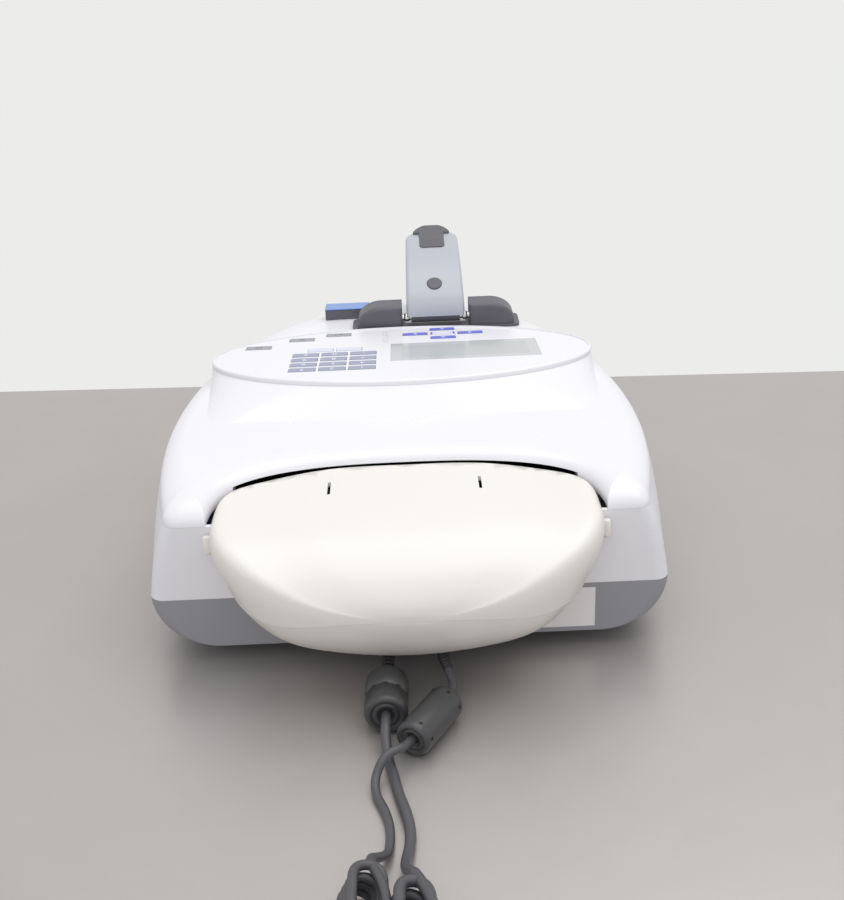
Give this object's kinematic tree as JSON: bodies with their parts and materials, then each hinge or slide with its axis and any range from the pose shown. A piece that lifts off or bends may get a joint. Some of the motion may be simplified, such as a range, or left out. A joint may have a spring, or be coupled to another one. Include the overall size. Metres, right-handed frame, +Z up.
{
  "type": "microvolume_spectrophotometer",
  "caption": "Bench microvolume spectrophotometer: white rounded case, oval sloping console with display and keys, open hinged sample arm, printer pod behind, two leads.",
  "frame": {"origin": "bottom centre of the instrument without its leads, on the bench", "axes": "+Z up, -Y towards the user and the sample arm, +Y towards the printer pod and the leads, +X to the left seen from behind"},
  "size_m": [0.26, 0.6362, 0.1343],
  "materials": {
    "case_white": "moulded white, low sheen",
    "pod_white": "moulded warm white, low sheen",
    "tray_grey": "moulded grey",
    "arm_grey": "moulded light grey, satin",
    "cheek_charcoal": "moulded charcoal, fine grain",
    "grip_grey": "soft grip",
    "window_grey": "grey display window, matt",
    "module_dark": "dark coated metal",
    "board_green": "coated circuit board",
    "key_number_blue": "grey-blue key caps",
    "key_soft_pale": "pale key caps",
    "key_function_grey": "grey key caps",
    "key_arrow_blue": "blue key caps",
    "key_centre_white": "white key cap",
    "pin_steel": "bright steel",
    "optic_steel": "polished",
    "rubber_black": "black rubber",
    "socket_black": "black moulded",
    "socket_metal": "stamped shell",
    "paper_white": "thermal paper on a core",
    "lead_grey": "dark grey sheath"
  },
  "bodies": {
    "case": {"base_tray": "tray_grey", "lower_case": "case_white", "top_cover": "case_white", "console_fascia": "case_white", "display_window": "window_grey", "lcd_module": "module_dark", "keypad_board": "board_green", "hinge_bridge": "cheek_charcoal", "hinge_pin": "pin_steel", "sample_stage": "pin_steel", "lower_optic": "optic_steel", "spectrometer_module": "module_dark", "badge_block": "cheek_charcoal", "main_board": "board_green", "feet": "rubber_black", "case_screws": "pin_steel", "power_socket": "socket_black", "usb_socket": "socket_metal", "pod_base": "pod_white", "printer_frame": "module_dark", "power_cord": "lead_grey", "usb_cord": "lead_grey", "power_ferrite": "lead_grey", "usb_ferrite": "lead_grey", "power_plug": "socket_black", "usb_plug": "socket_black", "power_hank": "lead_grey", "usb_hank": "lead_grey", "power_connector": "socket_black", "usb_connector": "lead_grey"},
    "arm": {"arm_cover": "arm_grey", "arm_chassis": "cheek_charcoal", "arm_grip": "grip_grey", "arm_plug": "grip_grey", "upper_optic": "optic_steel"},
    "pod_lid": {"pod_cover": "pod_white"},
    "platen": {"platen_roller": "rubber_black"},
    "paper": {"paper_roll": "paper_white"},
    "key_1_body": {"key_1": "key_number_blue"},
    "key_2_body": {"key_2": "key_number_blue"},
    "key_3_body": {"key_3": "key_number_blue"},
    "key_4_body": {"key_4": "key_number_blue"},
    "key_5_body": {"key_5": "key_number_blue"},
    "key_6_body": {"key_6": "key_number_blue"},
    "key_7_body": {"key_7": "key_number_blue"},
    "key_8_body": {"key_8": "key_number_blue"},
    "key_9_body": {"key_9": "key_number_blue"},
    "key_point_body": {"key_point": "key_number_blue"},
    "key_0_body": {"key_0": "key_number_blue"},
    "key_sign_body": {"key_sign": "key_number_blue"},
    "key_soft_left_body": {"key_soft_left": "key_soft_pale"},
    "key_soft_right_body": {"key_soft_right": "key_soft_pale"},
    "key_power_body": {"key_power": "key_function_grey"},
    "key_escape_body": {"key_escape": "key_function_grey"},
    "key_enter_body": {"key_enter": "key_function_grey"},
    "key_arrow_left_body": {"key_arrow_left": "key_arrow_blue"},
    "key_arrow_right_body": {"key_arrow_right": "key_arrow_blue"},
    "key_arrow_up_body": {"key_arrow_up": "key_arrow_blue"},
    "key_arrow_down_body": {"key_arrow_down": "key_arrow_blue"},
    "key_select_body": {"key_select": "key_centre_white"}
  },
  "joints": [
    {"name": "arm_hinge", "type": "hinge", "parent": "case", "child": "arm", "pos_m": [-0.022, -0.097, 0.0915], "axis": [1, 0, 0], "range_deg": [0, 32]},
    {"name": "pod_cover_lift", "type": "slide", "parent": "case", "child": "pod_lid", "axis": [0, 0, 1], "range_m": [0, 0.08]},
    {"name": "platen_turn", "type": "hinge", "parent": "case", "child": "platen", "pos_m": [0, 0.113, 0.066], "axis": [1, 0, 0], "continuous": true},
    {"name": "paper_roll_turn", "type": "hinge", "parent": "case", "child": "paper", "pos_m": [0, 0.167, 0.0485], "axis": [1, 0, 0], "continuous": true},
    {"name": "key_1_press", "type": "slide", "parent": "case", "child": "key_1_body", "axis": [0, 0.0958, -0.9954], "range_m": [0, 0.0004], "stiffness_N_per_m": 500, "springref_m": -0.0005},
    {"name": "key_2_press", "type": "slide", "parent": "case", "child": "key_2_body", "axis": [0, 0.0958, -0.9954], "range_m": [0, 0.0004], "stiffness_N_per_m": 500, "springref_m": -0.0005},
    {"name": "key_3_press", "type": "slide", "parent": "case", "child": "key_3_body", "axis": [0, 0.0958, -0.9954], "range_m": [0, 0.0004], "stiffness_N_per_m": 500, "springref_m": -0.0005},
    {"name": "key_4_press", "type": "slide", "parent": "case", "child": "key_4_body", "axis": [0, 0.0958, -0.9954], "range_m": [0, 0.0004], "stiffness_N_per_m": 500, "springref_m": -0.0005},
    {"name": "key_5_press", "type": "slide", "parent": "case", "child": "key_5_body", "axis": [0, 0.0958, -0.9954], "range_m": [0, 0.0004], "stiffness_N_per_m": 500, "springref_m": -0.0005},
    {"name": "key_6_press", "type": "slide", "parent": "case", "child": "key_6_body", "axis": [0, 0.0958, -0.9954], "range_m": [0, 0.0004], "stiffness_N_per_m": 500, "springref_m": -0.0005},
    {"name": "key_7_press", "type": "slide", "parent": "case", "child": "key_7_body", "axis": [0, 0.0958, -0.9954], "range_m": [0, 0.0004], "stiffness_N_per_m": 500, "springref_m": -0.0005},
    {"name": "key_8_press", "type": "slide", "parent": "case", "child": "key_8_body", "axis": [0, 0.0958, -0.9954], "range_m": [0, 0.0004], "stiffness_N_per_m": 500, "springref_m": -0.0005},
    {"name": "key_9_press", "type": "slide", "parent": "case", "child": "key_9_body", "axis": [0, 0.0958, -0.9954], "range_m": [0, 0.0004], "stiffness_N_per_m": 500, "springref_m": -0.0005},
    {"name": "key_point_press", "type": "slide", "parent": "case", "child": "key_point_body", "axis": [0, 0.0958, -0.9954], "range_m": [0, 0.0004], "stiffness_N_per_m": 500, "springref_m": -0.0005},
    {"name": "key_0_press", "type": "slide", "parent": "case", "child": "key_0_body", "axis": [0, 0.0958, -0.9954], "range_m": [0, 0.0004], "stiffness_N_per_m": 500, "springref_m": -0.0005},
    {"name": "key_sign_press", "type": "slide", "parent": "case", "child": "key_sign_body", "axis": [0, 0.0958, -0.9954], "range_m": [0, 0.0004], "stiffness_N_per_m": 500, "springref_m": -0.0005},
    {"name": "key_soft_left_press", "type": "slide", "parent": "case", "child": "key_soft_left_body", "axis": [0, 0.0958, -0.9954], "range_m": [0, 0.0004], "stiffness_N_per_m": 500, "springref_m": -0.0005},
    {"name": "key_soft_right_press", "type": "slide", "parent": "case", "child": "key_soft_right_body", "axis": [0, 0.0958, -0.9954], "range_m": [0, 0.0004], "stiffness_N_per_m": 500, "springref_m": -0.0005},
    {"name": "key_power_press", "type": "slide", "parent": "case", "child": "key_power_body", "axis": [0, 0.0958, -0.9954], "range_m": [0, 0.0004], "stiffness_N_per_m": 500, "springref_m": -0.0005},
    {"name": "key_escape_press", "type": "slide", "parent": "case", "child": "key_escape_body", "axis": [0, 0.0958, -0.9954], "range_m": [0, 0.0004], "stiffness_N_per_m": 500, "springref_m": -0.0005},
    {"name": "key_enter_press", "type": "slide", "parent": "case", "child": "key_enter_body", "axis": [0, 0.0958, -0.9954], "range_m": [0, 0.0004], "stiffness_N_per_m": 500, "springref_m": -0.0005},
    {"name": "key_arrow_left_press", "type": "slide", "parent": "case", "child": "key_arrow_left_body", "axis": [0, 0.0958, -0.9954], "range_m": [0, 0.0004], "stiffness_N_per_m": 500, "springref_m": -0.0005},
    {"name": "key_arrow_right_press", "type": "slide", "parent": "case", "child": "key_arrow_right_body", "axis": [0, 0.0958, -0.9954], "range_m": [0, 0.0004], "stiffness_N_per_m": 500, "springref_m": -0.0005},
    {"name": "key_arrow_up_press", "type": "slide", "parent": "case", "child": "key_arrow_up_body", "axis": [0, 0.0958, -0.9954], "range_m": [0, 0.0004], "stiffness_N_per_m": 500, "springref_m": -0.0005},
    {"name": "key_arrow_down_press", "type": "slide", "parent": "case", "child": "key_arrow_down_body", "axis": [0, 0.0958, -0.9954], "range_m": [0, 0.0004], "stiffness_N_per_m": 500, "springref_m": -0.0005},
    {"name": "key_select_press", "type": "slide", "parent": "case", "child": "key_select_body", "axis": [0, 0.0958, -0.9954], "range_m": [0, 0.0004], "stiffness_N_per_m": 500, "springref_m": -0.0005}
  ]
}
